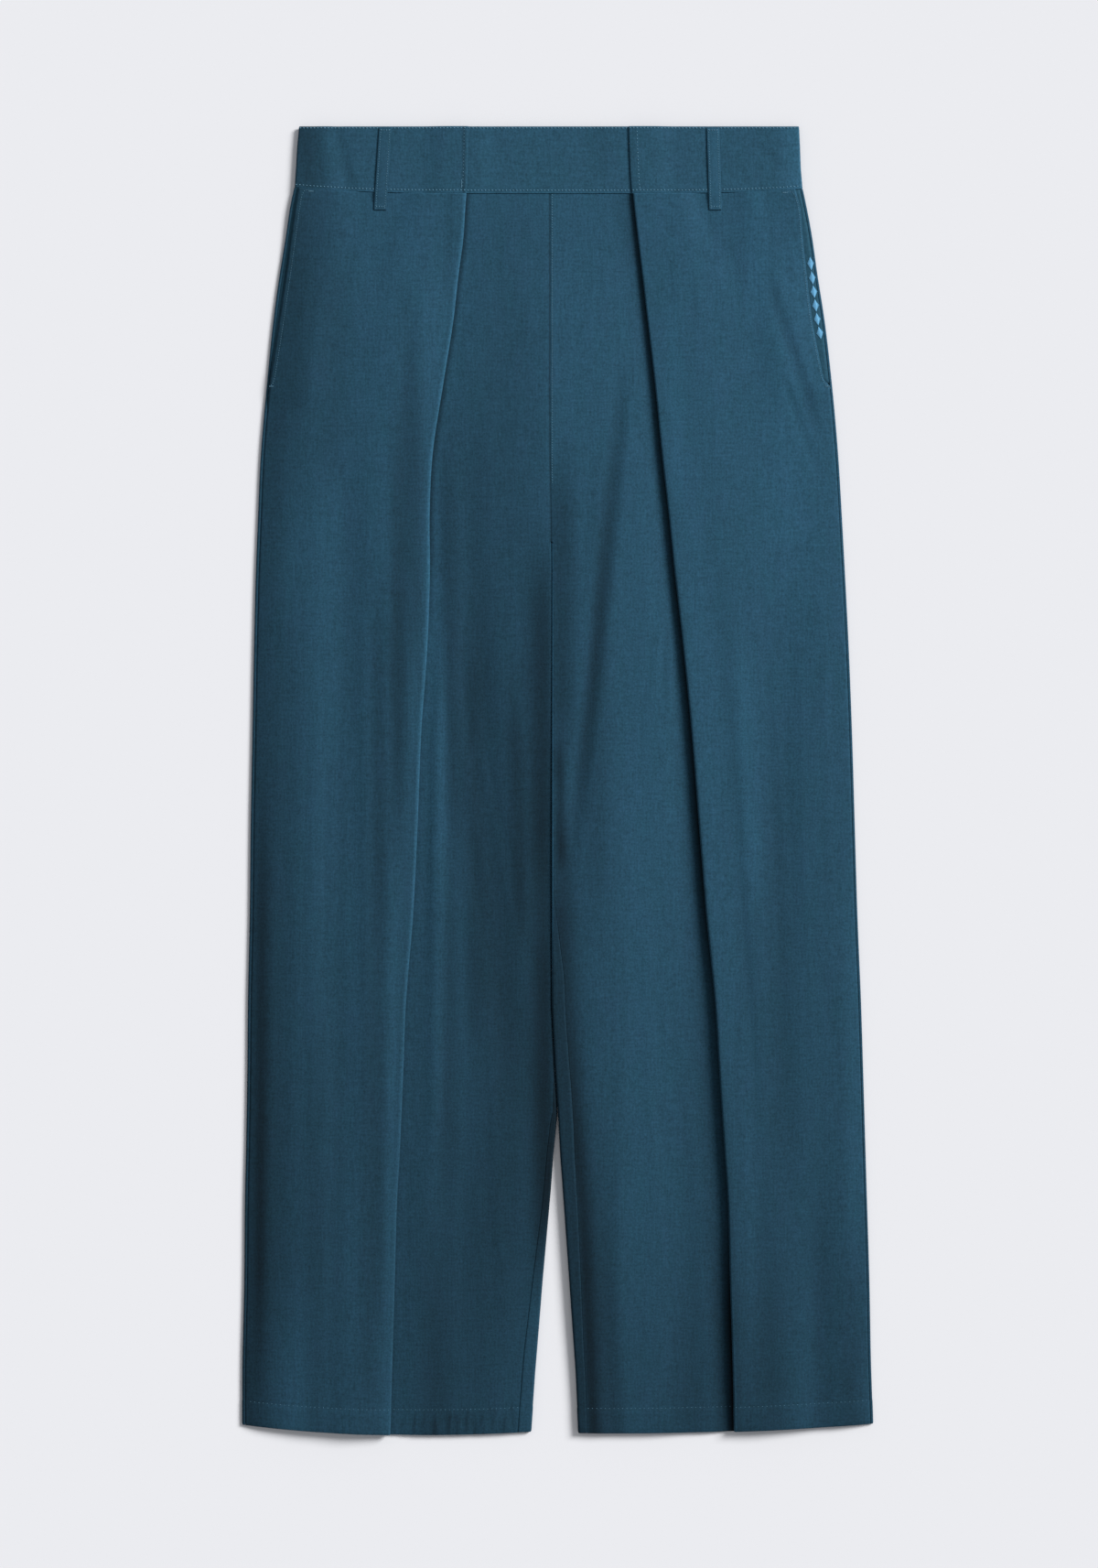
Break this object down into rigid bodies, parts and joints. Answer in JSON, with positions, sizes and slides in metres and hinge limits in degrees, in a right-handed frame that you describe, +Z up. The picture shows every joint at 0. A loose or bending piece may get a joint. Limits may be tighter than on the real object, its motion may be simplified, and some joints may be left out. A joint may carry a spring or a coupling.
{
  "type": "pleated trousers",
  "caption": "High-waisted wide-leg trousers with full-length front pleats, belt loops and side pockets, laid flat with the front up.",
  "frame": {"origin": "on the surface that the garment lies on, below the middle of its outline", "axes": "+Z up from the surface, out of the front of the garment; +Y from the hem to the waist; +X towards the wearer's left side"},
  "size_m": [0.5066, 1.05, 0.0085],
  "materials": {
    "cloth": "matt woven teal-blue cloth with a fine lengthwise crinkle",
    "waistband_cloth": "matt woven teal-blue cloth, doubled and pressed",
    "loop_cloth": "matt woven teal-blue cloth, folded into a narrow strip",
    "facing_cloth": "matt woven teal-blue cloth",
    "thread": "spun sewing thread, a little lighter than the cloth",
    "embroidery_thread": "light blue satin-stitch thread"
  },
  "bodies": {
    "root": {"leg_right_front": "cloth", "leg_left_front": "cloth", "leg_right_back": "cloth", "leg_left_back": "cloth", "waistband_round": "waistband_cloth", "waistband_centre": "waistband_cloth", "belt_loop_front_right": "loop_cloth", "belt_loop_front_left": "loop_cloth", "belt_loop_back_right": "loop_cloth", "belt_loop_back_centre": "loop_cloth", "belt_loop_back_left": "loop_cloth", "pocket_facing_right": "facing_cloth", "pocket_facing_left": "facing_cloth"}
  },
  "joints": []
}
